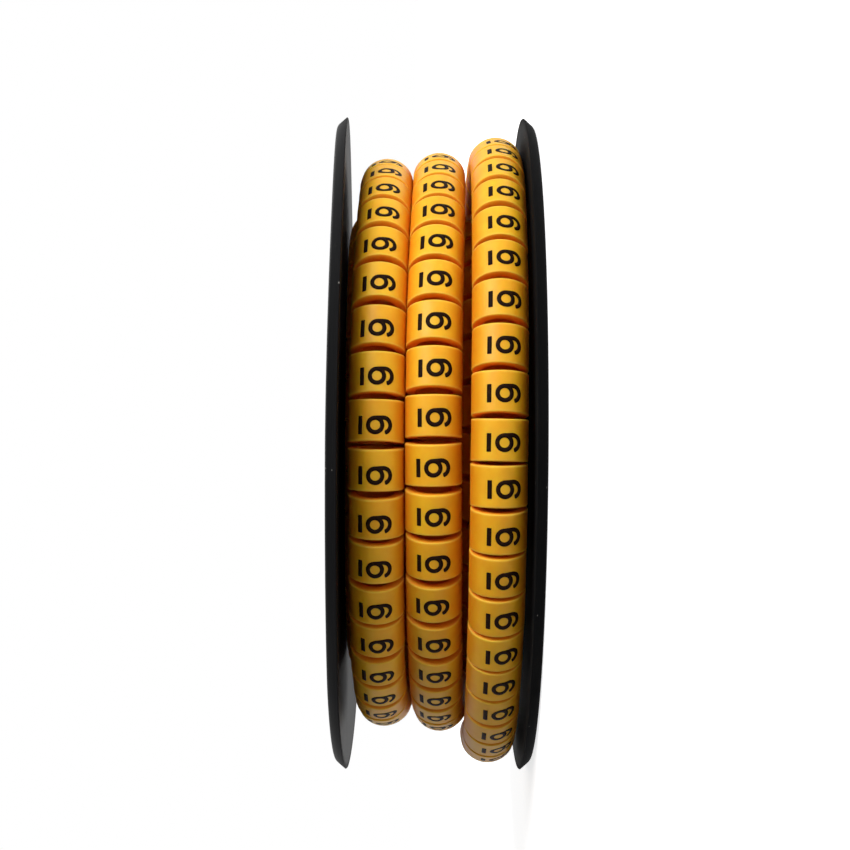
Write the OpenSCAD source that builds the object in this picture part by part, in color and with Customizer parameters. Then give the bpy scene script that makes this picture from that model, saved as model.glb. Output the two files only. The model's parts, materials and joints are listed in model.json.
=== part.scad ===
// Reel of cable markers: a black reel in two moulded halves, wound with one strip of yellow marker sleeves.
// The reel's axis is Z, and it stands on the outer face of its lower flange at z = 0. Sizes are in millimetres.

/* [Reel] */
// Diameter of the spindle bore through the core
bore_d = 20; // [12:0.5:26]
// Wall of the core tube on the lower half
core_wall = 1.6; // [1:0.1:3]
// Wall of the hub sleeve on the upper half
hub_wall = 1.85; // [1:0.05:3]
// Thickness of each flange
flange_t = 1.45; // [1:0.05:2.5]
// Width of the bevel round the outer side of each flange
rim_bevel = 1.15; // [0.6:0.05:2]
// Flat land left at the rim beside that bevel
rim_land = 0.15; // [0.1:0.05:0.6]
// How far the flanges stand out past the loosest turn
rim_margin = 0.85; // [0.4:0.05:8]
// Chamfer at both mouths of the spindle bore
bore_chamfer = 0.4; // [0.2:0.1:0.7]

/* [Marker strip] */
// Outside diameter of a sleeve
sleeve_od = 6.8; // [5.5:0.1:8]
// Wall of a sleeve
sleeve_wall = 1.2; // [1:0.05:1.6]
// Length of a sleeve between two cuts
sleeve_len = 5; // [3.5:0.05:8]
// Width of a cut at the inner side, where the strip bends
cut_gap = 0.04; // [0.02:0.01:0.3]
// Width of the uncut web between two sleeves
web_w = 2.4; // [1.4:0.1:3]
// Thickness of the uncut web
web_t = 0.5; // [0.3:0.05:0.6]

/* [Winding] */
// Layers of turns hidden under the outer layer
inner_layers = 3; // [1:1:4]
// How far each hidden layer sinks into the one below it
layer_press = 0.6; // [0.2:0.1:1]
// Room between two neighbouring turns
lane_gap = 0.3; // [0.2:0.1:1.5]
// Room between the outermost turns and the flanges
side_gap = 1.5; // [1.1:0.1:4]

/* [Fits] */
// Clearance between the core tube and the hub sleeve
core_gap = 0.05; // [0.02:0.01:0.2]
// Clearance of the winding on the hub, and of the outer layer on the turns under it
wind_gap = 0.05; // [0.02:0.01:0.3]

/* [Hidden] */
$fn = 64;

// Wander of the outer layer along the reel's axis, at the top, the near side and the bottom of the photo's view
axial_wander = [
  [0.75, -0.3, 0.95],
  [0.75, -0.3, 1.5],
  [1.2, 0.6, 0.6],
];

// Height of the outer layer over its seat at the same places: the last turn has sprung open
lift = [
  [0.15, 0.25, 0.15],
  [1.3, 1.05, 0.85],
  [3.25, 4.2, 5.15],
];

// The strip comes up out of the hidden turns at the back, and its free end lies there too
lead_angle = 106;
lead_drop = 0.8;
lead_wander = -0.6;
free_end_angle = 1092;

// Share of the way to the next lane that a turn has gone half way round the back
crossing_share = 0.85;

// Radii from the bore outwards
bore_r = bore_d / 2;
core_r = bore_r + core_wall;
hub_bore_r = core_r + core_gap;
hub_r = hub_bore_r + hub_wall;
sleeve_r = sleeve_od / 2;
layer_pitch = sleeve_od - layer_press;
wind_in_r = hub_r + wind_gap;
inner_crown_r = wind_in_r + inner_layers * layer_pitch;
seat_r = inner_crown_r + wind_gap;
lanes = len(lift);
loosest_r = seat_r + sleeve_od + max(lift[lanes - 1]);
flange_r = loosest_r + rim_margin;

// Heights from the standing face up
lane_pitch = sleeve_od + lane_gap;
inner_w = lanes * sleeve_od + (lanes - 1) * lane_gap + 2 * side_gap;
reel_w = inner_w + 2 * flange_t;
function lane_z(n) = reel_w / 2 + (n - (lanes - 1) / 2) * lane_pitch;

// Stations of the strip's route, a quarter turn apart, with the crossing to the next lane at the back
last = lanes - 1;
axial_stations = [
  lane_z(0) + lead_wander,
  lane_z(0) + lead_wander,
  for (n = [0:last])
    for (q = [0:3])
      q < 3 ? lane_z(n) + axial_wander[n][q]
      : n == last ? lane_z(n) + axial_wander[n][2]
      : (1 - crossing_share) * (lane_z(n) + axial_wander[n][2])
        + crossing_share * (lane_z(n + 1) + axial_wander[n + 1][0]),
  lane_z(last) + axial_wander[last][2],
];
lift_stations = [
  -sleeve_od,
  -lead_drop * sleeve_od,
  for (n = [0:last])
    for (q = [0:3])
      q < 3 ? lift[n][q]
      : n == last ? lift[n][2]
      : (lift[n][2] + lift[n + 1][0]) / 2,
  lift[last][2],
];

// Smooth curve through the stations, at a turning angle in degrees
function bend(a, b, c, d, s) =
  b + s * ((c - a) + s * ((2 * a - 5 * b + 4 * c - d) + s * (3 * (b - c) + d - a))) / 2;
function along_stations(list, angle) =
  let (i = floor(angle / 90), s = angle / 90 - i)
    bend(list[i - 1], list[i], list[i + 1], list[i + 2], s);

// Line on the inner side of the strip, where it bends
function hinge_r(angle) = seat_r + along_stations(lift_stations, angle);
function hinge(angle) =
  [hinge_r(angle) * cos(angle), hinge_r(angle) * sin(angle), along_stations(axial_stations, angle)];

// Angles of the cuts, one sleeve apart along that line
sleeve_pitch = sleeve_len + cut_gap;
function cut_step(angle) = sleeve_pitch / hinge_r(angle) * 180 / PI;
cuts = [for (a = lead_angle; a < free_end_angle; a = a + cut_step(a)) a];
sleeves = len(cuts) - 1;

// Placement on the strip between two points of its inner line: x along the strip, z outwards
function unit(v) = v / norm(v);
function strip_frame(a, b, p) =
  let (
    x = unit(b - a),
    flat = unit([p[0], p[1], 0]),
    z = unit(flat - (flat * x) * x),
    y = cross(z, x)
  )
    [
      [x[0], y[0], z[0], p[0]],
      [x[1], y[1], z[1], p[1]],
      [x[2], y[2], z[2], p[2]],
      [0, 0, 0, 1],
    ];

// Section of a flange, with its standing face at z = 0 and its bevelled rim
module flange_section(inner_r) {
  polygon([
    [inner_r, 0],
    [flange_r - rim_bevel, 0],
    [flange_r, flange_t - rim_land],
    [flange_r, flange_t],
    [inner_r, flange_t],
  ]);
}

// Flange disc and core tube, moulded in one
module lower_reel_half() {
  color([0.05, 0.05, 0.06])
    difference() {
      union() {
        rotate_extrude()
          flange_section(bore_r);
        rotate_extrude()
          translate([bore_r, 0])
            square([core_wall, reel_w]);
      }
      translate([0, 0, -bore_chamfer])
        cylinder(r1 = bore_r + 2 * bore_chamfer, r2 = bore_r, h = 2 * bore_chamfer);
      translate([0, 0, reel_w - bore_chamfer])
        cylinder(r1 = bore_r, r2 = bore_r + 2 * bore_chamfer, h = 2 * bore_chamfer);
    }
}

// Flange disc and hub sleeve, moulded in one
module upper_reel_half() {
  color([0.05, 0.05, 0.06])
    union() {
      translate([0, 0, reel_w])
        mirror([0, 0, 1])
          rotate_extrude()
            flange_section(hub_bore_r);
      rotate_extrude()
        translate([hub_bore_r, flange_t])
          square([hub_wall, reel_w - 2 * flange_t]);
    }
}

// Hidden turns, wound solid, with the round backs of the top layer
module hidden_turns() {
  top_r = inner_crown_r - sleeve_r;
  rotate_extrude() {
    translate([wind_in_r, lane_z(0) - sleeve_r])
      square([top_r - wind_in_r, lane_z(last) - lane_z(0) + sleeve_od]);
    for (n = [0:last])
      intersection() {
        translate([top_r, lane_z(n)])
          circle(sleeve_r);
        translate([top_r, lane_z(n) - sleeve_r])
          square([sleeve_r, sleeve_od]);
      }
  }
}

// One sleeve, a plain tube cut square, with its inner line through the origin
module sleeve() {
  translate([0, 0, sleeve_r])
    rotate([0, 90, 0])
      rotate_extrude()
        translate([sleeve_r - sleeve_wall, -sleeve_len / 2])
          square([sleeve_wall, sleeve_len]);
}

// Uncut web inside the walls of two neighbouring sleeves
module web() {
  web_len = cut_gap + sleeve_wall;
  web_lift = sleeve_r - sqrt(pow(sleeve_r, 2) - pow(web_w / 2, 2)) + 0.1;
  translate([-web_len / 2, -web_w / 2, web_lift])
    cube([web_len, web_w, web_t]);
}

// One strip: hidden turns, and the outer layer of sleeves with their webs.
// It is turned over as a whole, so that its loose last turn lies by the lower flange.
module marker_strip() {
  color([0.98, 0.67, 0.05])
    translate([0, 0, reel_w])
      rotate([0, 180, 0])
        union() {
          hidden_turns();
          for (k = [0:sleeves - 1]) {
            a = hinge(cuts[k]);
            b = hinge(cuts[k + 1]);
            multmatrix(strip_frame(a, b, (a + b) / 2))
              sleeve();
          }
          for (k = [1:sleeves - 1])
            multmatrix(strip_frame(hinge(cuts[k - 1]), hinge(cuts[k + 1]), hinge(cuts[k])))
              web();
        }
}

lower_reel_half();
upper_reel_half();
marker_strip();
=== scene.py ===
import json
import math
import random
from typing import NamedTuple

import bpy
from bpy.props import FloatProperty, FloatVectorProperty, IntProperty, PointerProperty
from mathutils import Matrix, Vector


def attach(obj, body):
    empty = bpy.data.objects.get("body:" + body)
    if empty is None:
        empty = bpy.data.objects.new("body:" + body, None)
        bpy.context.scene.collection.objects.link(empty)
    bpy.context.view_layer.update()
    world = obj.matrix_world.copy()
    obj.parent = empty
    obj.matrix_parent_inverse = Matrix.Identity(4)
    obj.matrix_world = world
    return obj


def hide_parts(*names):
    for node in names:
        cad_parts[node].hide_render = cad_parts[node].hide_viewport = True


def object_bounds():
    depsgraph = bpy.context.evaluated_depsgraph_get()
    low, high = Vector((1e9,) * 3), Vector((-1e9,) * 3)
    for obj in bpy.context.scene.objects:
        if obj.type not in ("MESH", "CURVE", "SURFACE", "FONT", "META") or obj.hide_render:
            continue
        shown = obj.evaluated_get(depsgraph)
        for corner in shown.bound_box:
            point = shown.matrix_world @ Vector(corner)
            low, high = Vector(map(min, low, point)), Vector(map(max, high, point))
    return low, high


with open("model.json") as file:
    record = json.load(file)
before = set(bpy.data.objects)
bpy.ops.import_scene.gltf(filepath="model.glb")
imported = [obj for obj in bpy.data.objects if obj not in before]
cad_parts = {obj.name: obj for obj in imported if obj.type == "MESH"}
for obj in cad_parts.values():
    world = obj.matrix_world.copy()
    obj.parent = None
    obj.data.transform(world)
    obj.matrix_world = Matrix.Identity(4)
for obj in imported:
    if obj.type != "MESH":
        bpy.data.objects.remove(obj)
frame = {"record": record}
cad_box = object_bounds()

bl_info = {
    "name": "Cable marker reel",
    "version": (1, 0, 0),
    "blender": (4, 5, 0),
    "location": "View3D > Sidebar > Marker reel",
    "description": "Dresses a reel of cable markers: moulded halves, wound sleeves, print and stage",
    "category": "Object",
}

MM = 0.001
PLASTIC_IOR = 1.5
NORMAL_WEIGHT = 90
BLACK = (0.0, 0.0, 0.0)
WHITE = (1.0, 1.0, 1.0)
WHITE_RAYS = ("Camera", "Glossy", "Transmission")
REEL_LOW, REEL_HIGH = cad_box
SPINDLE = next(m for m in frame["record"]["mounts"] if m["name"] == "spindle_bore")

# Wander of the outer turns along the axis and their height over the seat, in millimetres, turn by turn at the
# top, the near side and the bottom of the picture, as the solid has them
AXIAL_WANDER = ((0.75, -0.3, 0.95), (0.75, -0.3, 1.5), (1.2, 0.6, 0.6))
LIFT = ((0.15, 0.25, 0.15), (1.3, 1.05, 0.85), (3.25, 4.2, 5.15))
# Roll of the print about its sleeve, in degrees, and its shift along it, in millimetres, at the same places
PRINT_ROLL = ((0.0, 0.0, 1.0), (2.0, 0.0, -3.0), (12.0, 9.0, 19.0))
PRINT_SHIFT = ((0.6, 0.6, 0.6), (0.45, 0.33, 0.15), (0.25, 0.3, 0.15))
# Creep of the soft strip along its way, in degrees, at five places an eighth of a turn apart on the near half
CREEP = (
    (-1.5, -2.5, -1.25, -1.25, -1.25),
    (-3.0, -2.75, -2.25, -1.0, 0.75),
    (-1.0, -0.25, 0.5, -1.25, -2.0),
)
# Degrees between two places of that creep, and between two stations of the other values
CREEP_SPACING = 45.0
STATION_SPACING = 90.0
LANES = len(LIFT)
# Where the strip comes up out of the hidden turns at the back: its angle in degrees, its drop in sleeve
# diameters and its wander in millimetres. Its free end lies at the back too
LEAD_ANGLE = 106.0
LEAD_DROP = 0.8
LEAD_WANDER = -0.6
FREE_END_ANGLE = 1092.0
# Share of the way to the next lane that a turn has gone half way round the back
CROSSING_SHARE = 0.85
# How far the upper flange's rim leans in, at eight places an eighth of a turn apart, in millimetres
LEAN = (0.15, 0.0, 0.4, 1.3, 0.6, 0.0, 0.0, 0.3)
# Tip of the figure's stroke: angles on its top arc, in degrees, with the share of the full width
FIGURE_TIP = ((13.0, 0.35), (14.5, 0.68), (17.0, 0.90), (21.0, 1.0))
# Half of the bar: shares of its reach, with the share of the full width
HALF_BAR = ((0.5, 1.0), (0.96, 1.0), (1.0, 0.82))
# Step of the plastic's pattern from sleeve to sleeve, and numbers that the hidden turns have in it
PATTERN_STEP = 7.0
HIDDEN_NUMBER = 1000
HIDDEN_LANE_NUMBER = 100
CORE_PATTERN = 5.0
# Tint of the webs and of the turns that are wound solid
EVEN_TINT = 0.5


def length(name, description, default):
    """A size in metres that a user can change."""
    return FloatProperty(name=name, description=description, default=default, unit="LENGTH", precision=5)


def number(name, description, default):
    """A plain number that a user can change."""
    return FloatProperty(name=name, description=description, default=default)


def angle(name, description, degrees):
    """An angle that a user can change."""
    return FloatProperty(name=name, description=description, default=math.radians(degrees), unit="ROTATION")


def power(name, description, default):
    """A lamp's power that a user can change."""
    return FloatProperty(name=name, description=description, default=default, unit="POWER")


def count(name, description, default, least=1):
    """A whole number that a user can change."""
    return IntProperty(name=name, description=description, default=default, min=least)


def spot(name, description, default):
    """A place in metres that a user can change."""
    return FloatVectorProperty(
        name=name, description=description, default=default, subtype="XYZ", unit="LENGTH", size=3
    )


def colour(name, description, default):
    """A linear colour that a user can change."""
    return FloatVectorProperty(
        name=name, description=description, default=default, subtype="COLOR", size=3, min=0.0, max=1.0
    )


class ReelSizes(bpy.types.PropertyGroup):
    """Sizes of the two moulded halves"""

    flange_radius: length("Flange radius", "Outer radius of both flanges", -REEL_LOW.x)
    flange_thickness: length("Flange thickness", "Thickness of each flange", 1.45 * MM)
    rim_bevel: length("Rim bevel", "Width of the bevel round the outer side of each flange", 1.15 * MM)
    rim_land: length("Rim land", "Flat left at the rim beside that bevel", 0.15 * MM)
    rim_soft: length("Rim softening", "Reach of the softened corner where the bevel starts", 0.45 * MM)
    width: length("Width", "Overall width of the reel", REEL_HIGH.z - REEL_LOW.z)
    bore_radius: length("Bore radius", "Radius of the spindle bore", SPINDLE["dims"]["r_mm"] * MM)
    core_wall: length("Core wall", "Wall of the core tube", 1.6 * MM)
    core_gap: length("Core gap", "Clearance between core tube and hub sleeve", 0.05 * MM)
    hub_wall: length("Hub wall", "Wall of the hub sleeve", 1.85 * MM)
    bore_chamfer: length("Bore chamfer", "Chamfer at both mouths of the bore", 0.4 * MM)
    edge_round: length("Edge round", "Small rounding on the moulded edges", 0.1 * MM)
    lean_from: length("Lean from", "Radius from which the upper flange leans in", 18.0 * MM)
    lean_curve: number("Lean curve", "How fast that lean grows towards the rim", 1.5)
    lower_haze: number("Lower haze", "Dullness of the lower half's plastic", 0.28)
    upper_haze: number("Upper haze", "Dullness of the upper half's plastic", 0.04)
    steps: count("Steps", "Facets round the reel", 224, 24)


class StripSizes(bpy.types.PropertyGroup):
    """Sizes of the wound strip of sleeves"""

    sleeve_radius: length("Sleeve radius", "Outside radius of a sleeve", 3.4 * MM)
    sleeve_wall: length("Sleeve wall", "Wall of a sleeve", 1.2 * MM)
    press: number("Press", "Width of a sleeve over its height, as the winding presses it", 1.035)
    pitch: length("Pitch", "Distance between two cuts along the inner side", 5.04 * MM)
    sleeve_length: length("Sleeve length", "Length of a sleeve between two cuts", 5.14 * MM)
    cut_gap: length("Cut gap", "Width of a cut where two sleeves press together", 0.02 * MM)
    cut_round: length("Cut round", "Rounding of the cut edges", 0.13 * MM)
    web_width: length("Web width", "Width of the uncut web", 2.4 * MM)
    web_thickness: length("Web thickness", "Thickness of the uncut web", 0.5 * MM)
    web_inset: length("Web inset", "Depth of the web inside the sleeves' walls", 0.1 * MM)
    lane_gap: length("Lane gap", "Room between two neighbouring turns", 0.3 * MM)
    layer_pitch: length("Layer pitch", "Height of one hidden layer", 6.2 * MM)
    wind_gap: length("Winding gap", "Clearance of the winding on its seat", 0.05 * MM)
    hidden_shift: length("Hidden shift", "How far the hidden turns lie towards the upper flange", 0.85 * MM)
    # Painted shade over the hidden turns, as deep as down in a cut at 1
    hidden_depth: number("Hidden depth", "How deep in tone the hidden turns are, where 1 is a cut", 0.6)
    layers: count("Hidden layers", "Layers under the outer one", 3)
    tilt_spread: angle("Tilt spread", "Most that a sleeve tips along the strip", 1.1)
    turn_spread: angle("Turn spread", "Most that a sleeve turns across the strip", 0.6)
    along_spread: length("Along spread", "Most that a sleeve is off along the strip", 0.02 * MM)
    across_spread: length("Across spread", "Most that a sleeve is off across the strip", 0.03 * MM)
    rise_spread: length("Rise spread", "Most that a sleeve rises over its seat", 0.05 * MM)
    roll_spread: angle("Roll spread", "Most that a print is off about its sleeve", 2.0)
    shift_spread: length("Shift spread", "Most that a print is off along its sleeve", 0.05 * MM)
    steps: count("Steps", "Facets round a sleeve", 40, 12)
    hidden_steps: count("Hidden steps", "Facets round a hidden sleeve", 20, 12)
    core_steps: count("Core steps", "Facets round the turns that are wound solid", 96, 24)
    seed: count("Seed", "Seed of the small differences between sleeves", 11)


class PrintSizes(bpy.types.PropertyGroup):
    """Sizes of the printed figure and its bar"""

    stroke: length("Stroke", "Width of the figure's stroke", 0.54 * MM)
    bowl_radius: length("Bowl radius", "Radius of the figure's bowl at mid stroke", 0.88 * MM)
    top_radius: length("Top radius", "Radius of the figure's top at mid stroke", 0.93 * MM)
    top_rise: length("Top rise", "Height of the top's centre over the bowl's", 1.0 * MM)
    bar_length: length("Bar length", "Length of the bar under the figure", 2.26 * MM)
    bar_width: length("Bar width", "Width of the bar", 0.58 * MM)
    bar_drop: length("Bar drop", "Distance of the bar under the bowl's centre", 1.93 * MM)
    bowl_sweep: angle("Bowl sweep", "How far round the figure's bowl goes", 356.0)
    film: length("Film", "Height of the ink over the sleeve", 0.012 * MM)
    top_steps: count("Top steps", "Facets along the figure's top", 12)
    side_steps: count("Side steps", "Facets along the figure's side", 4)
    bowl_steps: count("Bowl steps", "Facets along the figure's bowl", 32)


class Finishes(bpy.types.PropertyGroup):
    """Colours of the plastics and the ink, with the painted shade and highlight tones of the sleeves"""

    reel_black: colour("Reel black", "Colour of the moulded halves", (0.0045, 0.0046, 0.0050))
    reel_scuff: colour("Reel scuff", "Colour of scuffs on the halves", (0.09, 0.085, 0.08))
    reel_dust: colour("Reel dust", "Colour of the dust specks on the halves", (0.36, 0.34, 0.31))
    wear_from: length("Wear from", "Radius at which the rim's wear starts", 43.9 * MM)
    wear_full: length("Wear full", "Radius at which the rim is fully worn", 44.9 * MM)
    sleeve_yellow: colour("Sleeve yellow", "Colour of the sleeves", (0.93, 0.49, 0.012))
    sleeve_amber: colour("Sleeve amber", "Deeper tone in the sleeves", (0.86, 0.36, 0.006))
    # Painted shade: a deeper, redder tone down the flanks of each sleeve, standing in for the shade where
    # neighbours and flanges close in
    flank_amber: colour("Flank amber", "Deeper tone down the flanks of a sleeve", (0.72, 0.21, 0.002))
    # Painted highlight on the cut edges, and also the slightly paler tone of the drawn lines
    cut_pale: colour("Cut pale", "Paler tone on the cut edges", (0.98, 0.60, 0.08))
    # Painted shade: a redder, darker tone down in the cuts, on the webs and over the hidden turns
    cut_deep: colour("Cut deep", "Redder tone down in the cuts", (0.88, 0.22, 0.002))
    ink: colour("Ink", "Colour of the print", (0.010, 0.0035, 0.0015))
    ink_worn: colour("Worn ink", "Thin places in the print", (0.05, 0.020, 0.003))


class StageSettings(bpy.types.PropertyGroup):
    """Camera, lamps and floor"""

    distance: length("Distance", "Camera distance from the middle of the reel", 0.3103)
    lens: FloatProperty(name="Lens", description="Focal length in millimetres", default=94.1, unit="CAMERA")
    sensor: FloatProperty(name="Sensor", description="Width in millimetres", default=36.0, unit="CAMERA")
    nearest: length("Nearest", "Nearest distance that the camera shows", 0.01)
    farthest: length("Farthest", "Farthest distance that the camera shows", 20.0)
    yaw: angle("Yaw", "Turn of the camera towards the upper flange", 0.73)
    roll: angle("Roll", "Lean of the reel in the picture", 0.32)
    shift_x: number("Shift X", "Sideways shift of the picture, as a share of its width", -7.2 / 850)
    shift_y: number("Shift Y", "Upward shift of the picture, as a share of its width", 18.4 / 850)
    key_place: spot("Key place", "Where the main lamp stands", (0.40, -0.36, 0.34))
    key_side: length("Key side", "Side of the main lamp", 0.36)
    key_power: power("Key power", "Power of the main lamp", 4.3)
    back_place: spot("Back place", "Where the lamp behind the reel stands", (0.12, 0.52, 0.48))
    back_side: length("Back side", "Side of the lamp behind the reel", 0.40)
    back_power: power("Back power", "Power of the lamp behind the reel", 1.6)
    sky: number("Sky", "Strength of the light from all round", 0.07)
    floor_reach: length("Floor reach", "Distance from the middle of the floor to its sides", 3.0)
    floor_drop: length("Floor drop", "Gap that keeps the floor and the reel's face apart", 0.02 * MM)
    floor: colour("Floor", "Colour of the floor under its own glow", (0.80, 0.80, 0.80))
    floor_grain: colour("Floor grain", "Colour of the floor's faint grain", (0.76, 0.76, 0.76))
    floor_glow: number("Floor glow", "Glow of the floor beside the reel, where 1 is white", 0.76)
    shade_from: length("Shade from", "Distance from the reel's axis at which the shadow starts to fade", 0.10)
    shade_to: length("Shade to", "Distance from the reel's axis at which the shadow has faded", 0.40)


class MarkerReel(bpy.types.PropertyGroup):
    """All settings of the dressed reel"""

    reel: PointerProperty(type=ReelSizes)
    strip: PointerProperty(type=StripSizes)
    figure: PointerProperty(type=PrintSizes)
    finish: PointerProperty(type=Finishes)
    stage: PointerProperty(type=StageSettings)


class Field:
    """A socket in a material, so that shader maths reads as plain expressions."""

    def __init__(self, tree, socket):
        self.tree = tree
        self.socket = socket

    def math(self, operation, *values):
        """One Math node over sockets and plain numbers."""
        return self.tree.add("ShaderNodeMath", {"operation": operation}, dict(enumerate(values)))

    def __add__(self, other):
        return self.math("ADD", self, other)

    __radd__ = __add__

    def __sub__(self, other):
        return self.math("SUBTRACT", self, other)

    def __rsub__(self, other):
        return self.math("SUBTRACT", other, self)

    def __mul__(self, other):
        return self.math("MULTIPLY", self, other)

    __rmul__ = __mul__

    def __truediv__(self, other):
        return self.math("DIVIDE", self, other)

    def __rtruediv__(self, other):
        return self.math("DIVIDE", other, self)

    def __pow__(self, other):
        return self.math("POWER", self, other)

    def most(self, other):
        """The greater of two values."""
        return self.math("MAXIMUM", self, other)

    def step_between(self, low, high):
        """0 below low, 1 above high and smooth between them."""
        return self.tree.add(
            "ShaderNodeMapRange",
            {"interpolation_type": "SMOOTHSTEP"},
            {"Value": self, "From Min": low, "From Max": high},
        )


class Finish:
    """The nodes of a material or of the world, under construction."""

    def __init__(self, owner):
        owner.use_nodes = True
        self.owner = owner
        self.nodes = owner.node_tree.nodes
        self.links = owner.node_tree.links
        self.nodes.clear()

    def add(self, kind, settings=None, sockets=None, output=0):
        """One node: its settings first, then the values or links of its sockets."""
        node = self.nodes.new(kind)
        for key, value in (settings or {}).items():
            setattr(node, key, value)
        for key, value in (sockets or {}).items():
            if isinstance(value, Field):
                self.links.new(value.socket, node.inputs[key])
            else:
                node.inputs[key].default_value = value
        return Field(self, node.outputs[output]) if node.outputs else None

    def mix(self, factor, first, second):
        """Colours mixed by a factor, which are inputs 6 and 7 and output 2 of a Mix node."""
        sockets = {0: factor}
        for index, value in ((6, first), (7, second)):
            sockets[index] = value if isinstance(value, Field) else (*value, 1.0)
        return self.add("ShaderNodeMix", {"data_type": "RGBA"}, sockets, output=2)

    def place(self, attribute=None):
        """Place on the object, or a vector kept on its points."""
        if attribute:
            return self.add("ShaderNodeAttribute", {"attribute_name": attribute}, output="Vector")
        return self.add("ShaderNodeTexCoord", output="Object")

    def amount(self, attribute):
        """A number kept on the object's points."""
        return self.add("ShaderNodeAttribute", {"attribute_name": attribute}, output="Fac")

    def stretch(self, vector, factors):
        """A vector scaled along its axes."""
        return self.add("ShaderNodeVectorMath", {"operation": "MULTIPLY"}, {0: vector, 1: factors})

    def parts(self, vector):
        """The three numbers of a vector."""
        split = self.add("ShaderNodeSeparateXYZ", sockets={0: vector}).socket.node
        return [Field(self, out) for out in split.outputs]

    def noise(self, vector, scale, detail=2.0, roughness=0.5):
        """Smooth noise about 0.5."""
        sockets = {"Vector": vector, "Scale": scale, "Detail": detail, "Roughness": roughness}
        return self.add("ShaderNodeTexNoise", sockets=sockets)

    def spots(self, vector, scale):
        """Distance to the nearest of scattered points."""
        return self.add("ShaderNodeTexVoronoi", sockets={"Vector": vector, "Scale": scale})

    def bump(self, height, strength, distance, normal=None):
        """A normal for a fine relief, over another one if it is given."""
        sockets = {"Height": height, "Strength": strength, "Distance": distance}
        if normal:
            sockets["Normal"] = normal
        return self.add("ShaderNodeBump", sockets=sockets)

    def surface(self, sockets):
        """Ends the material in one Principled shader."""
        shader = self.add("ShaderNodeBsdfPrincipled", sockets=sockets)
        self.add("ShaderNodeOutputMaterial", sockets={"Surface": shader})
        return self.owner


def moulded_black(finish):
    """Black moulded plastic: fine grain, soft scuffs and a little dust."""
    f = Finish(bpy.data.materials.new("moulded_black"))
    place = f.place()
    x, y, _ = f.parts(place)
    radius = (x * x + y * y) ** 0.5
    cloud = f.noise(place, 90.0, 4.0)
    grain = f.noise(place, 5200.0, 2.0)
    rings = f.noise(f.stretch(place, (1.0, 1.0, 40.0)), 260.0, 3.0, 0.6)
    scratch_a = f.noise(f.stretch(place, (1400.0, 60.0, 700.0)), 1.0, 2.0).step_between(0.69, 0.78)
    scratch_b = f.noise(f.stretch(place, (70.0, 1500.0, 700.0)), 1.0, 2.0).step_between(0.70, 0.79)
    scratches = (scratch_a + scratch_b) * cloud.step_between(0.48, 0.66)
    specks = 1.0 - f.spots(place, 520.0).step_between(0.045, 0.085)
    dust = specks * f.noise(place, 140.0, 1.0).step_between(0.52, 0.60)
    rim = radius.step_between(finish.wear_from, finish.wear_full)
    wear = rim * rings.step_between(0.46, 0.68)
    pale = scratches * 0.10 + wear * 0.03 + cloud.step_between(0.4, 0.75) * 0.025
    base = f.mix(pale, finish.reel_black, finish.reel_scuff)
    base = f.mix(dust * 0.45, base, finish.reel_dust)
    rough = 0.36 + f.amount("haze") + cloud * 0.10 + grain * 0.06 + scratches * 0.10 + rim * 0.14
    fine = f.bump(grain, 0.12, 0.03 * MM)
    normal = f.bump(scratches + cloud * 0.6, 0.10, 0.05 * MM, fine)
    return f.surface(
        {
            "Base Color": base,
            "Roughness": rough,
            "Normal": normal,
            "Specular IOR Level": 0.035,
            "IOR": PLASTIC_IOR,
        }
    )


def marker_yellow(finish):
    """Soft yellow plastic: faint drawn lines and uneven tone, with painted shade down the flanks, in the cuts
    and over the hidden turns, and a painted highlight on the cut edges.
    """
    f = Finish(bpy.data.materials.new("marker_yellow"))
    tube = f.place("tube_place")
    cut = f.amount("cut_edge")
    shade_depth = f.amount("cut_shade_share")
    tint = f.amount("sleeve_tint")
    flank_shade = f.amount("flank_shade")
    lines = f.noise(f.stretch(tube, (160.0, 5200.0, 1.0)), 1.0, 3.0, 0.6)
    mottle = f.noise(f.stretch(tube, (420.0, 420.0, 1.0)), 1.0, 4.0, 0.55)
    blotch = f.noise(f.stretch(tube, (1500.0, 1500.0, 1.0)), 1.0, 2.0)
    pits = 1.0 - f.spots(f.stretch(tube, (2600.0, 2600.0, 1.0)), 1.0).step_between(0.10, 0.30)
    pits = pits * blotch.step_between(0.52, 0.64)
    deep = mottle.step_between(0.34, 0.72) * 0.45 + tint * 0.40
    tone = f.mix(deep, finish.sleeve_yellow, finish.sleeve_amber)
    # Painted shade down the flanks of each sleeve
    tone = f.mix(flank_shade * 0.85, tone, finish.flank_amber)
    # Painted highlight on the cut edges, with the drawn lines a little paler
    tone = f.mix(cut * 0.45 + lines.step_between(0.55, 0.8) * 0.06, tone, finish.cut_pale)
    # Painted shade down in the cuts and over the hidden turns
    tone = f.mix(shade_depth, tone, finish.cut_deep)
    rough = 0.42 + mottle * 0.10 + blotch * 0.06 + cut * 0.12
    drawn = f.bump(lines, 0.10, 0.04 * MM)
    normal = f.bump(mottle * 0.7 + blotch * 0.3 - pits * 0.6, 0.10, 0.08 * MM, drawn)
    return f.surface(
        {
            "Base Color": tone,
            "Roughness": rough,
            "Normal": normal,
            "Specular IOR Level": 0.32,
            "IOR": PLASTIC_IOR,
            "Subsurface Weight": 0.5,
            "Subsurface Radius": (1.0, 0.5, 0.12),
            "Subsurface Scale": 1.6 * MM,
        }
    )


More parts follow.
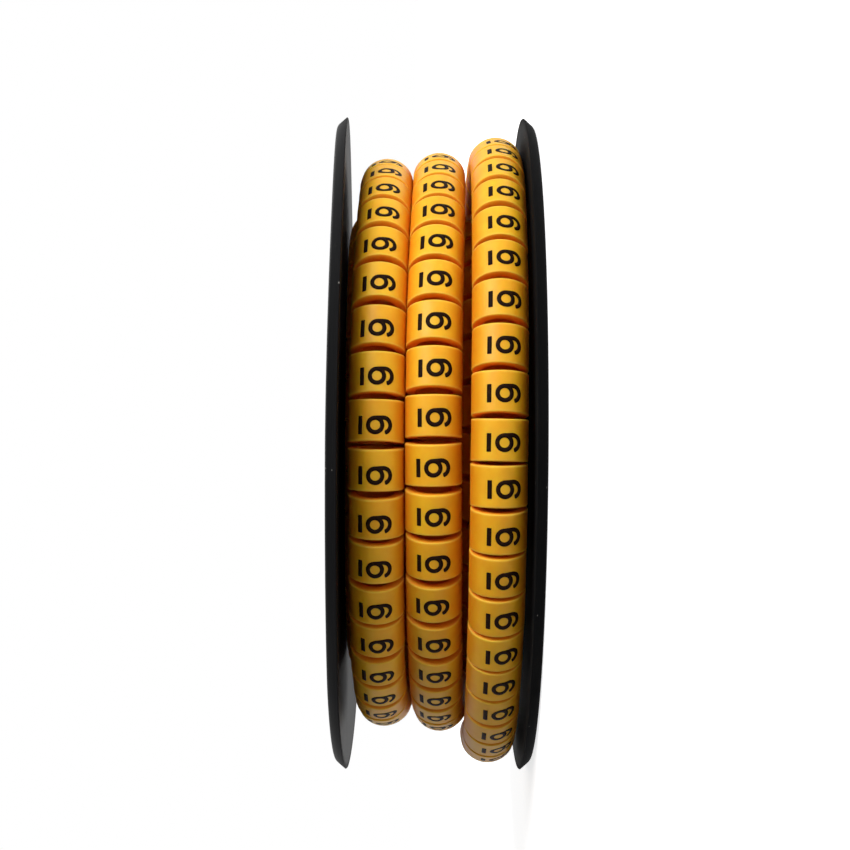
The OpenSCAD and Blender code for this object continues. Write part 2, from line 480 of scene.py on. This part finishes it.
def print_black(finish):
    """Black print: dense ink with thin places."""
    f = Finish(bpy.data.materials.new("print_black"))
    place = f.place()
    flow = f.noise(place, 2300.0, 3.0)
    fine = f.noise(place, 9000.0, 2.0)
    thin = flow.step_between(0.56, 0.78) * 0.6 + fine.step_between(0.62, 0.8) * 0.3
    base = f.mix(thin, finish.ink, finish.ink_worn)
    rough = 0.50 + flow * 0.16
    normal = f.bump(fine, 0.10, 0.01 * MM)
    return f.surface({"Base Color": base, "Roughness": rough, "Normal": normal, "Specular IOR Level": 0.05})


def white_rays(f):
    """1 for rays from the camera, in gloss and through glass, and 0 for all others."""
    path = f.add("ShaderNodeLightPath").socket.node
    camera, glossy, through = (Field(f, path.outputs[f"Is {ray} Ray"]) for ray in WHITE_RAYS)
    return camera.most(glossy).most(through)


def stage_white(stage):
    """Pale floor: its glow makes it white in the picture, and its colour takes the shadow."""
    f = Finish(bpy.data.materials.new("stage_white"))
    place = f.place()
    x, y, _ = f.parts(place)
    away = ((x * x + y * y) ** 0.5).step_between(stage.shade_from, stage.shade_to)
    base = f.mix(f.noise(place, 60.0, 3.0) * 0.5, stage.floor, stage.floor_grain)
    glow = f.mix(white_rays(f) * (stage.floor_glow + away * (1.0 - stage.floor_glow)), BLACK, WHITE)
    return f.surface(
        {
            "Base Color": base,
            "Roughness": 1.0,
            "Specular IOR Level": 0.0,
            "Emission Color": glow,
            "Emission Strength": 1.0,
        }
    )


class Shell:
    """Points and faces of one piece, with numbers kept on its points."""

    def __init__(self):
        self.points = []
        self.faces = []
        self.numbers = {}
        self.vectors = {}

    def point(self, place, numbers=None, vectors=None):
        """Adds a point with its numbers and vectors, and gives its index."""
        self.points.append(tuple(place))
        for key, value in (numbers or {}).items():
            self.numbers.setdefault(key, []).append(value)
        for key, value in (vectors or {}).items():
            self.vectors.setdefault(key, []).append(value)
        return len(self.points) - 1

    def ring_faces(self, rings, joined=True):
        """Quads along a list of rings of points, each a closed loop, the last joined to the first or not."""
        after = rings[1:] + rings[:1] if joined else rings[1:]
        for near, far in zip(rings, after):
            for j in range(len(near)):
                k = (j + 1) % len(near)
                self.faces.append((near[j], near[k], far[k], far[j]))

    def rod_faces(self, rings):
        """Quads along a rod of rings, with a face at both its ends."""
        self.ring_faces(rings, joined=False)
        self.faces.append(tuple(reversed(rings[0])))
        self.faces.append(tuple(rings[-1]))

    def make(self, name, material, slot, nodes=()):
        """The finished object, riding on the reel's one body."""
        mesh = bpy.data.meshes.new(name)
        mesh.from_pydata(self.points, [], self.faces)
        for key, values in self.numbers.items():
            mesh.attributes.new(key, "FLOAT", "POINT").data.foreach_set("value", values)
        for key, values in self.vectors.items():
            flat = [c for v in values for c in v]
            mesh.attributes.new(key, "FLOAT_VECTOR", "POINT").data.foreach_set("vector", flat)
        if mesh.validate():
            raise RuntimeError(f"{name} has faulty faces")
        mesh.shade_smooth()
        mesh.materials.append(material)
        piece = bpy.data.objects.new(name, mesh)
        bpy.context.scene.collection.objects.link(piece)
        even = piece.modifiers.new("even_normals", "WEIGHTED_NORMAL")
        even.weight = NORMAL_WEIGHT
        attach(piece, "root")
        if nodes:
            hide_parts(*nodes)


def settings():
    """All settings of this scene's reel."""
    return bpy.context.scene.marker_reel


def finish_of(make):
    """A finish, made once."""
    found = bpy.data.materials.get(make.__name__)
    return found or make(settings().finish)


def lathe(name, outline, steps, nodes, haze, lean=None):
    """An outline of radius and height turned round the reel's axis, with a lean if one is given."""
    shell = Shell()
    rings = []
    for radius, height in outline:
        ring = []
        for j in range(steps):
            turn = 2 * math.pi * j / steps
            drop = lean(radius, turn) if lean else 0.0
            place = (radius * math.cos(turn), radius * math.sin(turn), height - drop)
            ring.append(shell.point(place, {"haze": haze}))
        rings.append(ring)
    shell.ring_faces(rings)
    shell.make(name, finish_of(moulded_black), "reel_plastic", nodes)


def bevelled_rim(size, steps=6):
    """The bevelled rim of a flange, from its outer face up to its land, with a softened corner."""
    corner = Vector((size.flange_radius - size.rim_bevel, 0.0))
    tip = Vector((size.flange_radius, size.flange_thickness - size.rim_land))
    start = corner - Vector((size.rim_soft, 0.0))
    end = corner + (tip - corner).normalized() * size.rim_soft
    curve = []
    for step in range(steps + 1):
        s = step / steps
        curve.append(start * (1 - s) ** 2 + corner * 2 * s * (1 - s) + end * s**2)
    return [tuple(point) for point in (*curve, tip)]


def bend(a, b, c, d, s):
    """Smooth curve from b to c, with a before and d after them."""
    return b + s * ((c - a) + s * ((2 * a - 5 * b + 4 * c - d) + s * (3 * (b - c) + d - a))) / 2


def face_between(start, end, height, steps=8):
    """Points across a flange's flat face."""
    return [(start + (end - start) * s / steps, height) for s in range(1, steps)]


def rim_lean(size):
    """How far the upper flange bends in, by radius and angle."""

    def lean(radius, turn):
        out = max(0.0, (radius - size.lean_from) / (size.flange_radius - size.lean_from))
        place = turn / (2 * math.pi) * len(LEAN)
        here = math.floor(place)
        near = [LEAN[(here + step) % len(LEAN)] for step in (-1, 0, 1, 2)]
        return max(0.0, bend(*near, place - here)) * MM * out**size.lean_curve

    return lean


class MARKER_REEL_OT_reel_halves(bpy.types.Operator):
    """Make the two moulded reel halves"""

    bl_idname = "marker_reel.reel_halves"
    bl_label = "Reel halves"

    def execute(self, context):
        size = settings().reel
        edge = size.edge_round
        thick = size.flange_thickness
        core = size.bore_radius + size.core_wall
        hub_bore = core + size.core_gap
        hub = hub_bore + size.hub_wall
        mouth = size.bore_radius + size.bore_chamfer
        rim = bevelled_rim(size)
        low = [(mouth, 0.0), *rim]
        low += [(size.flange_radius, thick - edge), (size.flange_radius - edge, thick)]
        low += [(core + edge, thick), (core, thick + edge)]
        low += [(core, size.width - edge), (core - edge, size.width)]
        low += [(mouth, size.width), (size.bore_radius, size.width - size.bore_chamfer)]
        low += [(size.bore_radius, size.bore_chamfer)]
        lathe("lower_half", low, size.steps, ["lower_reel_half"], size.lower_haze)
        high = [(r, size.width - z) for r, z in reversed(rim)]
        high += face_between(high[-1][0], hub_bore + edge, size.width)
        high += [(hub_bore + edge, size.width), (hub_bore, size.width - edge)]
        high += [(hub_bore, thick + edge), (hub_bore + edge, thick)]
        high += [(hub - edge, thick), (hub, thick + edge)]
        high += [(hub, size.width - thick - edge), (hub + edge, size.width - thick)]
        high += face_between(hub + edge, size.flange_radius - edge, size.width - thick)
        high += [(size.flange_radius - edge, size.width - thick)]
        high += [(size.flange_radius, size.width - thick + edge)]
        lathe("upper_half", high, size.steps, ["upper_reel_half"], size.upper_haze, rim_lean(size))
        return {"FINISHED"}


class Sleeve(NamedTuple):
    """Where one sleeve sits, how its print is turned and shifted, and the room between its two cuts."""

    placement: Matrix
    roll: float
    shift: float
    room: float


class Route:
    """The way of the strip's inner line round the reel, and the sleeves on it."""

    def __init__(self, reel, strip):
        self.strip = strip
        self.hub = reel.bore_radius + reel.core_wall + reel.core_gap + reel.hub_wall
        self.inside = self.hub + strip.wind_gap
        self.hidden_crown = self.inside + strip.layers * strip.layer_pitch
        self.seat = self.hidden_crown + strip.wind_gap
        self.middle = reel.width / 2
        self.turned_over = Matrix.Translation((0.0, 0.0, reel.width)) @ Matrix.Rotation(math.pi, 4, "Y")
        self.lane_pitch = 2 * strip.sleeve_radius + strip.lane_gap
        lead = self.lane(0) + LEAD_WANDER * MM
        diameter = 2 * strip.sleeve_radius
        self.axial = [lead, lead]
        self.axial += self.stations(lambda n, q: self.lane(n) + AXIAL_WANDER[n][q] * MM, CROSSING_SHARE)
        self.lift = [-diameter, -LEAD_DROP * diameter] + self.stations(lambda n, q: LIFT[n][q] * MM)
        self.roll = [0.0, 0.0] + self.stations(lambda n, q: math.radians(PRINT_ROLL[n][q]))
        self.shift = [0.0, 0.0] + self.stations(lambda n, q: PRINT_SHIFT[n][q] * MM)
        self.creep = self.creep_stations()

    def lane(self, n):
        """Height of a lane's middle, before the winding is turned over."""
        return self.middle + (n - (LANES - 1) / 2) * self.lane_pitch

    def stations(self, value, share=0.5):
        """Values a quarter turn apart, with a share of the way to the next turn's gone at the back."""
        found = []
        for n in range(LANES):
            found += [value(n, q) for q in range(3)]
            after = value(n, 2) if n == LANES - 1 else value(n + 1, 0)
            found.append((1 - share) * value(n, 2) + share * after)
        return found + [value(LANES - 1, 2)]

    def creep_stations(self):
        """Creep an eighth of a turn apart, led evenly round the back from each turn to the next."""
        back = 4
        found = [0.0] * back
        for here, after in zip(CREEP, (*CREEP[1:], CREEP[-1][-1:])):
            found += [*here, *(here[-1] + (after[0] - here[-1]) * s / back for s in range(1, back))]
        return found + [CREEP[-1][-1]] * back

    def along(self, stations, degrees, spacing=STATION_SPACING):
        """Smooth curve through the stations."""
        i = math.floor(degrees / spacing)
        s = degrees / spacing - i
        return bend(*stations[i - 1 : i + 3], s)

    def hinge(self, degrees):
        """Place of the inner line, where the strip bends."""
        radius = self.seat + self.along(self.lift, degrees)
        turn = math.radians(degrees)
        return Vector((radius * math.cos(turn), radius * math.sin(turn), self.along(self.axial, degrees)))

    def cuts(self):
        """Angles of the cuts, one sleeve apart."""
        found = []
        degrees = LEAD_ANGLE
        while degrees < FREE_END_ANGLE:
            found.append(degrees + self.along(self.creep, degrees, CREEP_SPACING))
            degrees += math.degrees(self.strip.pitch / (self.seat + self.along(self.lift, degrees)))
        return found

    def sleeves(self):
        """Each sleeve, placed with x along the strip, z outwards and its inner line through the origin."""
        strip = self.strip
        cuts = self.cuts()
        chance = random.Random(strip.seed)
        found = []
        for start, end in zip(cuts, cuts[1:]):
            ends = (self.hinge(start), self.hinge(end))
            tilt = Matrix.Rotation(either_way(chance, strip.tilt_spread), 4, "Y")
            turn = Matrix.Rotation(either_way(chance, strip.turn_spread), 4, "Z")
            along = either_way(chance, strip.along_spread)
            across = either_way(chance, strip.across_spread)
            nudge = Matrix.Translation((along, across, chance.uniform(0.0, strip.rise_spread)))
            middle = (start + end) / 2
            roll = self.along(self.roll, middle) + either_way(chance, strip.roll_spread)
            shift = self.along(self.shift, middle) + either_way(chance, strip.shift_spread)
            room = (ends[1] - ends[0]).length - strip.cut_gap
            placement = self.turned_over @ strip_frame(*ends) @ nudge @ turn @ tilt
            found.append(Sleeve(placement, roll, shift, room))
        return found


def either_way(chance, spread):
    """A random amount up to a spread, either way."""
    return chance.uniform(-spread, spread)


def strip_frame(start, end, place=None):
    """Placement on the strip between two points of its inner line."""
    place = place or (start + end) / 2
    x = (end - start).normalized()
    flat = Vector((place.x, place.y, 0.0)).normalized()
    z = (flat - flat.dot(x) * x).normalized()
    y = z.cross(x)
    return Matrix.Translation(place) @ Matrix((x, y, z)).transposed().to_4x4()


def sleeve_outline(strip):
    """Half a sleeve's section: distance along it, radius, how near a cut edge, which sets a painted
    highlight, and how deep in the cut, which sets a painted shade.
    """
    end = strip.sleeve_length / 2
    outer = strip.sleeve_radius
    inner = outer - strip.sleeve_wall
    soft = strip.cut_round
    mid_round = soft * 0.29
    bore_round = soft * 0.6
    mid_bore_round = soft * 0.15
    # Reach of the painted highlight along the sleeve from its cut
    highlight_reach = soft * 2.6
    return [
        (end - bore_round, inner, 0.2, 1.0),
        (end - mid_bore_round, inner + mid_bore_round, 0.4, 1.0),
        (end, inner + bore_round, 0.3, 1.0),
        (end, outer - soft, 0.7, 0.4),
        (end - mid_round, outer - mid_round, 1.0, 0.0),
        (end - soft, outer, 0.9, 0.0),
        (end - highlight_reach, outer, 0.0, 0.0),
    ]


def flank_share(turn, start=30.0, end=75.0):
    """0 along the crown of a sleeve and 1 down its flanks, where its tone is darkened as painted shade, by
    the turn round it from its inner line.
    """
    s = (abs(math.degrees(turn) - 180.0) - start) / (end - start)
    s = max(0.0, min(1.0, s))
    return s * s * (3 - 2 * s)


def add_sleeve(shell, strip, placement, room, bend_radius, index, tint, steps, least_shade=0.0):
    """One sleeve: a short tube with softened cut edges, pressed in where it meets its neighbours.

    The room between its two cuts is that on the inner line, and it opens outwards with the strip's bend.
    """
    half = sleeve_outline(strip)
    outline = half + [(-x, *rest) for x, *rest in reversed(half)]
    outer = strip.sleeve_radius
    rings = []
    for x, radius, cut, shade_depth in outline:
        ring = []
        for j in range(steps):
            turn = 2 * math.pi * j / steps
            height = outer - radius * math.cos(turn)
            reach = room / 2 * (1 + height / bend_radius)
            place = Vector((max(-reach, min(reach, x)), -radius * math.sin(turn) * strip.press, height))
            tube = (x, outer * turn, index * PATTERN_STEP + radius)
            numbers = {
                # Painted highlight near the cut edges
                "cut_edge": cut,
                # Painted shade down in the cuts, and over all of a hidden sleeve
                "cut_shade_share": max(shade_depth, least_shade),
                "sleeve_tint": tint,
                # Painted shade down the sleeve's flanks
                "flank_shade": flank_share(turn),
            }
            ring.append(shell.point(placement @ place, numbers, {"tube_place": tube}))
        rings.append(ring)
    shell.ring_faces(rings)


def add_web(shell, strip, placement, index):
    """The uncut web between two sleeves, inside their walls."""
    reach = (strip.cut_gap + strip.sleeve_wall) / 2
    side = strip.web_width / 2
    outer = strip.sleeve_radius
    low = outer - math.sqrt(outer**2 - side**2) + strip.web_inset
    high = low + strip.web_thickness
    # The web takes the full painted shade of a cut and of a flank, and a little of the painted highlight of a
    # cut edge
    numbers = {"cut_edge": 0.2, "cut_shade_share": 1.0, "sleeve_tint": EVEN_TINT, "flank_shade": 1.0}
    ends = []
    for x in (reach, -reach):
        ring = []
        for y, z in ((-side, low), (side, low), (side, high), (-side, high)):
            tube = (x, y, index * PATTERN_STEP + z)
            ring.append(shell.point(placement @ Vector((x, y, z)), numbers, {"tube_place": tube}))
        ends.append(ring)
    shell.rod_faces(ends)


def add_hidden_turns(shell, route, strip, chance):
    """The turns under the outer layer: sleeves on top, wound solid below, all darkened with painted shade."""
    base = route.hidden_crown - 2 * strip.sleeve_radius
    around = round(2 * math.pi * base / strip.pitch)
    for n in range(LANES):
        offset = chance.uniform(0.0, 1.0)
        lane = route.lane(n) + strip.hidden_shift
        for k in range(around):
            start, end = (2 * math.pi * (k + offset + s) / around for s in (0, 1))
            points = [Vector((base * math.cos(t), base * math.sin(t), lane)) for t in (start, end)]
            room = (points[1] - points[0]).length - strip.cut_gap
            # Each hidden sleeve is darkened at least by the hidden turns' painted shade
            add_sleeve(
                shell,
                strip,
                strip_frame(*points),
                room,
                base,
                HIDDEN_NUMBER + n * HIDDEN_LANE_NUMBER + k,
                chance.random(),
                strip.hidden_steps,
                strip.hidden_depth,
            )
    half = (LANES - 1) / 2 * route.lane_pitch + strip.sleeve_radius
    top = base + strip.sleeve_radius
    corners = [(route.inside, -half), (top, -half), (top, half), (route.inside, half)]
    middle = route.middle + strip.hidden_shift
    # The turns wound solid take the full painted shade of a cut and of a flank
    numbers = {"cut_edge": 0.0, "cut_shade_share": 1.0, "sleeve_tint": EVEN_TINT, "flank_shade": 1.0}
    rings = []
    for radius, height in corners:
        ring = []
        for j in range(strip.core_steps):
            turn = 2 * math.pi * j / strip.core_steps
            place = (radius * math.cos(turn), radius * math.sin(turn), middle + height)
            ring.append(shell.point(place, numbers, {"tube_place": (radius * turn, height, CORE_PATTERN)}))
        rings.append(ring)
    shell.ring_faces(rings)


class MARKER_REEL_OT_marker_strip(bpy.types.Operator):
    """Make the wound strip of marker sleeves"""

    bl_idname = "marker_reel.marker_strip"
    bl_label = "Marker strip"

    def execute(self, context):
        strip = settings().strip
        route = Route(settings().reel, strip)
        chance = random.Random(strip.seed + 1)
        shell = Shell()
        for index, sleeve in enumerate(route.sleeves()):
            tint = chance.random()
            add_sleeve(shell, strip, sleeve.placement, sleeve.room, route.seat, index, tint, strip.steps)
        cuts = route.cuts()
        for index in range(1, len(cuts) - 1):
            ends = (route.hinge(cuts[index - 1]), route.hinge(cuts[index + 1]))
            placement = route.turned_over @ strip_frame(*ends, route.hinge(cuts[index]))
            add_web(shell, strip, placement, index)
        add_hidden_turns(shell, route, strip, chance)
        shell.make("sleeve_strip", finish_of(marker_yellow), "marker_plastic", ["marker_strip"])
        return {"FINISHED"}


def figure_path(size):
    """Mid line of the figure 6 in one stroke, with its share of the full width: top, left side and bowl."""
    tip_end = FIGURE_TIP[-1][0]
    arc = list(FIGURE_TIP)
    for s in range(1, size.top_steps + 1):
        arc.append((tip_end + (180.0 - tip_end) * s / size.top_steps, 1.0))
    path = []
    for degrees, share in arc:
        turn = math.radians(degrees)
        rise = size.top_rise + size.top_radius * math.sin(turn)
        path.append((size.top_radius * math.cos(turn), rise, share))
    for step in range(1, size.side_steps):
        s = step / size.side_steps
        side = -size.top_radius - (size.bowl_radius - size.top_radius) * s
        path.append((side, size.top_rise * (1 - s), 1.0))
    for s in range(size.bowl_steps + 1):
        turn = math.pi + size.bowl_sweep * s / size.bowl_steps
        path.append((size.bowl_radius * math.cos(turn), size.bowl_radius * math.sin(turn), 1.0))
    return path


def bar_path(size):
    """Mid line of the bar under the figure, with its share of the full width."""
    reach = size.bar_length / 2
    both = [(-out, share) for out, share in reversed(HALF_BAR)] + list(HALF_BAR)
    return [(reach * out, -size.bar_drop, share) for out, share in both]


def add_stroke(shell, path, width, placement, roll, strip, film):
    """A flat stroke of ink laid round a sleeve."""
    edges = ((1, film), (0, film), (-1, film), (-1, -2 * film), (1, -2 * film))
    sections = []
    for i, (u, v, share) in enumerate(path):
        before = Vector(path[max(i - 1, 0)][:2])
        after = Vector(path[min(i + 1, len(path) - 1)][:2])
        way = (after - before).normalized()
        across = Vector((-way.y, way.x)) * (width * share / 2)
        section = []
        for side, height in edges:
            along = u + across.x * side
            turn = (v + across.y * side) / (strip.sleeve_radius * strip.press) + roll
            radius = strip.sleeve_radius + height
            sideways = radius * math.sin(turn) * strip.press
            place = Vector((along, sideways, strip.sleeve_radius + radius * math.cos(turn)))
            section.append(shell.point(placement @ place))
        sections.append(section)
    shell.rod_faces(sections)


class MARKER_REEL_OT_marker_print(bpy.types.Operator):
    """Print the figure and its bar on every sleeve"""

    bl_idname = "marker_reel.marker_print"
    bl_label = "Marker print"

    def execute(self, context):
        strip = settings().strip
        size = settings().figure
        route = Route(settings().reel, strip)
        strokes = ((figure_path(size), size.stroke), (bar_path(size), size.bar_width))
        shell = Shell()
        for sleeve in route.sleeves():
            placement = sleeve.placement @ Matrix.Translation((sleeve.shift, 0.0, 0.0))
            for path, width in strokes:
                add_stroke(shell, path, width, placement, sleeve.roll, strip, size.film)
        shell.make("marker_print", finish_of(print_black), "print_ink")
        return {"FINISHED"}


def lamp(name, place, target, side, energy):
    """A soft square lamp aimed at a point."""
    data = bpy.data.lights.new(name, "AREA")
    data.size = side
    data.energy = energy
    light = bpy.data.objects.new(name, data)
    light.location = place
    light.rotation_euler = (target - Vector(place)).to_track_quat("-Z", "Y").to_euler()
    bpy.context.scene.collection.objects.link(light)


class MARKER_REEL_OT_stage(bpy.types.Operator):
    """Set the floor, the lamps and the camera"""

    bl_idname = "marker_reel.stage"
    bl_label = "Stage"

    def execute(self, context):
        stage = settings().stage
        scene = context.scene
        scene.view_settings.view_transform = "Standard"
        centre = (REEL_LOW + REEL_HIGH) / 2
        self.floor(stage)
        self.sky(scene, stage)
        lamp("key_lamp", stage.key_place, centre, stage.key_side, stage.key_power)
        lamp("back_lamp", stage.back_place, centre, stage.back_side, stage.back_power)
        self.camera(scene, stage, centre)
        return {"FINISHED"}

    def floor(self, stage):
        """A wide flat floor just under the reel."""
        mesh = bpy.data.meshes.new("floor")
        reach = stage.floor_reach
        corners = [(-reach, -reach, 0.0), (reach, -reach, 0.0), (reach, reach, 0.0), (-reach, reach, 0.0)]
        mesh.from_pydata(corners, [], [(0, 1, 2, 3)])
        mesh.materials.append(stage_white(stage))
        floor = bpy.data.objects.new("floor", mesh)
        floor.location.z = REEL_LOW.z - stage.floor_drop
        bpy.context.scene.collection.objects.link(floor)

    def sky(self, scene, stage):
        """White to the eye and in gloss, and a plain soft light for the rest."""
        world = bpy.data.worlds.new("studio")
        f = Finish(world)
        level = stage.sky + white_rays(f) * (1.0 - stage.sky)
        shader = f.add("ShaderNodeBackground", sockets={"Color": (*WHITE, 1.0), "Strength": level})
        f.add("ShaderNodeOutputWorld", sockets={"Surface": shader})
        scene.world = world

    def camera(self, scene, stage, centre):
        """The camera looks along +Y at the winding, with the reel's axis across the picture."""
        data = bpy.data.cameras.new("camera")
        data.lens = stage.lens
        data.sensor_width = stage.sensor
        data.shift_x = stage.shift_x
        data.shift_y = stage.shift_y
        data.clip_start = stage.nearest
        data.clip_end = stage.farthest
        ahead = Vector((0.0, math.cos(stage.yaw), -math.sin(stage.yaw)))
        right = Vector((0.0, -math.sin(stage.yaw), -math.cos(stage.yaw)))
        up = Vector((1.0, 0.0, 0.0))
        lean_right = right * math.cos(stage.roll) + up * math.sin(stage.roll)
        lean_up = up * math.cos(stage.roll) - right * math.sin(stage.roll)
        camera = bpy.data.objects.new("camera", data)
        turn = Matrix((lean_right, lean_up, -ahead)).transposed().to_4x4()
        camera.matrix_world = Matrix.Translation(centre - ahead * stage.distance) @ turn
        scene.collection.objects.link(camera)
        scene.camera = camera


class VIEW3D_PT_marker_reel(bpy.types.Panel):
    """Lists the steps that dress the reel"""

    bl_label = "Marker reel"
    bl_space_type = "VIEW_3D"
    bl_region_type = "UI"
    bl_category = "Marker reel"

    def draw(self, context):
        """One button for each step."""
        for step in STEPS:
            self.layout.operator(step.bl_idname)


GROUPS = (ReelSizes, StripSizes, PrintSizes, Finishes, StageSettings, MarkerReel)
STEPS = (
    MARKER_REEL_OT_reel_halves,
    MARKER_REEL_OT_marker_strip,
    MARKER_REEL_OT_marker_print,
    MARKER_REEL_OT_stage,
)
CLASSES = (*GROUPS, *STEPS, VIEW3D_PT_marker_reel)


def register():
    """Make the settings, steps and panel known to Blender."""
    for cls in CLASSES:
        bpy.utils.register_class(cls)
    bpy.types.Scene.marker_reel = PointerProperty(type=MarkerReel)


def unregister():
    """Take them away again."""
    del bpy.types.Scene.marker_reel
    for cls in reversed(CLASSES):
        bpy.utils.unregister_class(cls)


def main():
    """Dress the reel step by step."""
    register()
    bpy.ops.marker_reel.reel_halves()
    bpy.ops.marker_reel.marker_strip()
    bpy.ops.marker_reel.marker_print()
    bpy.ops.marker_reel.stage()


if __name__ == "__main__":
    main()
